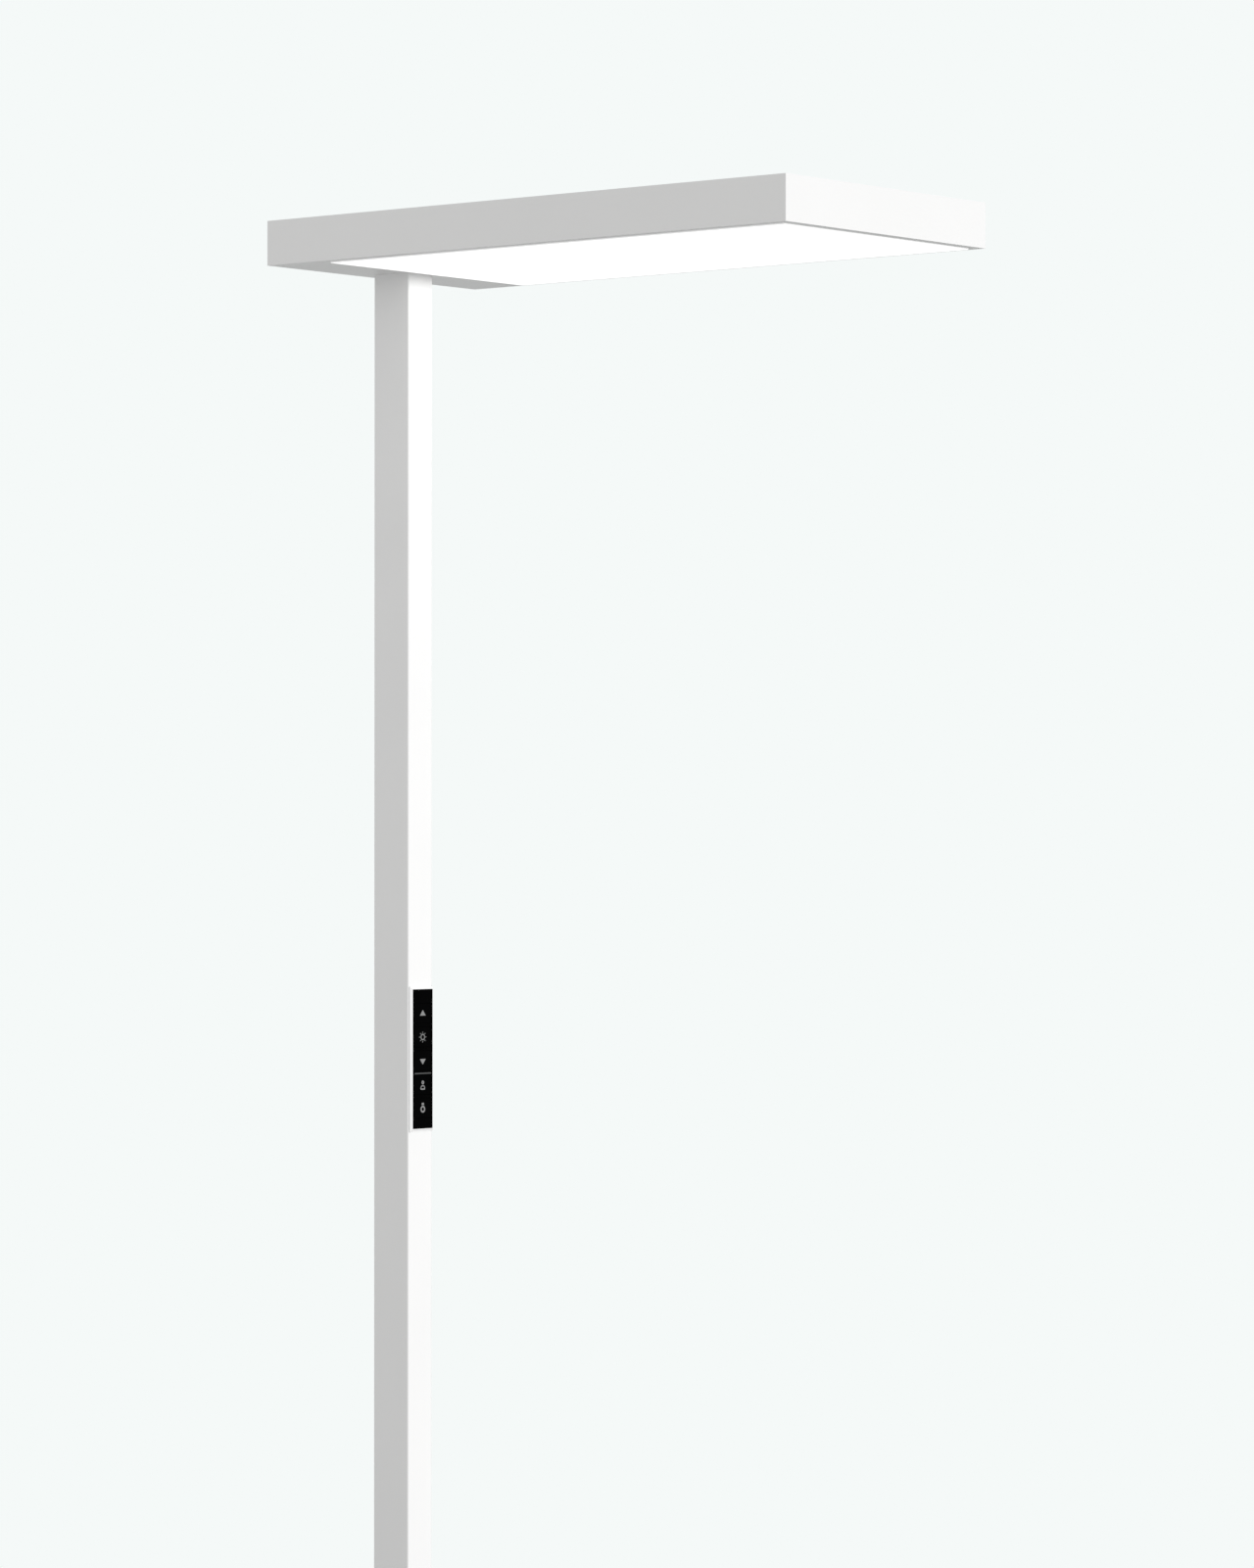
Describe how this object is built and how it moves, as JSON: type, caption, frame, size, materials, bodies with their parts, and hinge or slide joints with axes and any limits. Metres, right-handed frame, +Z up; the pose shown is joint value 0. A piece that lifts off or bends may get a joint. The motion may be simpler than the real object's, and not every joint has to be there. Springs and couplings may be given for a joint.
{
  "type": "office floor lamp",
  "caption": "Free-standing office floor lamp: slim rectangular head lighting down and up, near one end of a rectangular column with a push-key panel, on a flat base plate.",
  "frame": {"origin": "on the floor, under the middle of the bounding box", "axes": "+Z up, +X along the head towards its free end, +Y across the head; the column stands near the -X end and its key panel faces +X"},
  "size_m": [0.615, 0.3, 1.95],
  "materials": {
    "white_paint": "fine satin powder coat",
    "column_coat": "white powder coat on an extruded tube",
    "opal": "opal, lit from behind",
    "satin_clear": "satin acrylic",
    "dark_foam": "closed-cell foam",
    "black_rubber": "matte rubber",
    "zinc_steel": "zinc-coated sheet",
    "zinc_screws": "zinc-plated",
    "white_screws": "painted screw heads",
    "board_white": "white solder mask",
    "diode": "phosphor lens",
    "gear_white": "moulded case",
    "gear_black": "moulded case",
    "lead_white": "flat insulated lead",
    "lead_grey": "sheathed lead",
    "panel_white": "moulded surround",
    "panel_black": "smooth black",
    "board_green": "green solder mask",
    "switch_black": "moulded case",
    "plug_white": "moulded plug",
    "gland_grey": "light grey polyamide"
  },
  "bodies": {
    "stand": {"base_bolts": "zinc_screws", "base_pads": "black_rubber", "base_plate": "white_paint", "cable_grommet": "black_rubber", "column": "column_coat", "control_lead": "lead_grey", "control_unit": "gear_black", "cord_gland": "gland_grey", "corner_posts": "zinc_steel", "diffuser": "opal", "diffuser_seal": "dark_foam", "downlight_boards": "board_white", "downlight_leds": "diode", "gear_pan": "zinc_steel", "gear_straps": "zinc_steel", "gland_nut": "gland_grey", "head_bracket": "zinc_steel", "head_bracket_screws": "zinc_screws", "head_frame": "white_paint", "head_leads": "lead_white", "key_board": "board_green", "key_switches": "switch_black", "lead_plug": "plug_white", "led_driver": "gear_white", "pan_blocks": "dark_foam", "panel_bezel": "panel_white", "panel_fascia": "panel_black", "terminal_block": "gear_white", "top_cover": "white_paint", "top_cover_screws": "white_screws", "uplight_boards": "board_white", "uplight_cover": "satin_clear", "uplight_leds": "diode"},
    "key_brighter_cap": {"key_brighter": "panel_black"},
    "key_light_cap": {"key_light": "panel_black"},
    "key_dimmer_cap": {"key_dimmer": "panel_black"},
    "key_presence_cap": {"key_presence": "panel_black"},
    "key_daylight_cap": {"key_daylight": "panel_black"}
  },
  "joints": [
    {"name": "key_brighter_push", "type": "slide", "parent": "stand", "child": "key_brighter_cap", "axis": [-1, 0, 0], "range_m": [0, 0.0004], "stiffness_N_per_m": 600},
    {"name": "key_light_push", "type": "slide", "parent": "stand", "child": "key_light_cap", "axis": [-1, 0, 0], "range_m": [0, 0.0004], "stiffness_N_per_m": 600},
    {"name": "key_dimmer_push", "type": "slide", "parent": "stand", "child": "key_dimmer_cap", "axis": [-1, 0, 0], "range_m": [0, 0.0004], "stiffness_N_per_m": 600},
    {"name": "key_presence_push", "type": "slide", "parent": "stand", "child": "key_presence_cap", "axis": [-1, 0, 0], "range_m": [0, 0.0004], "stiffness_N_per_m": 600},
    {"name": "key_daylight_push", "type": "slide", "parent": "stand", "child": "key_daylight_cap", "axis": [-1, 0, 0], "range_m": [0, 0.0004], "stiffness_N_per_m": 600}
  ]
}
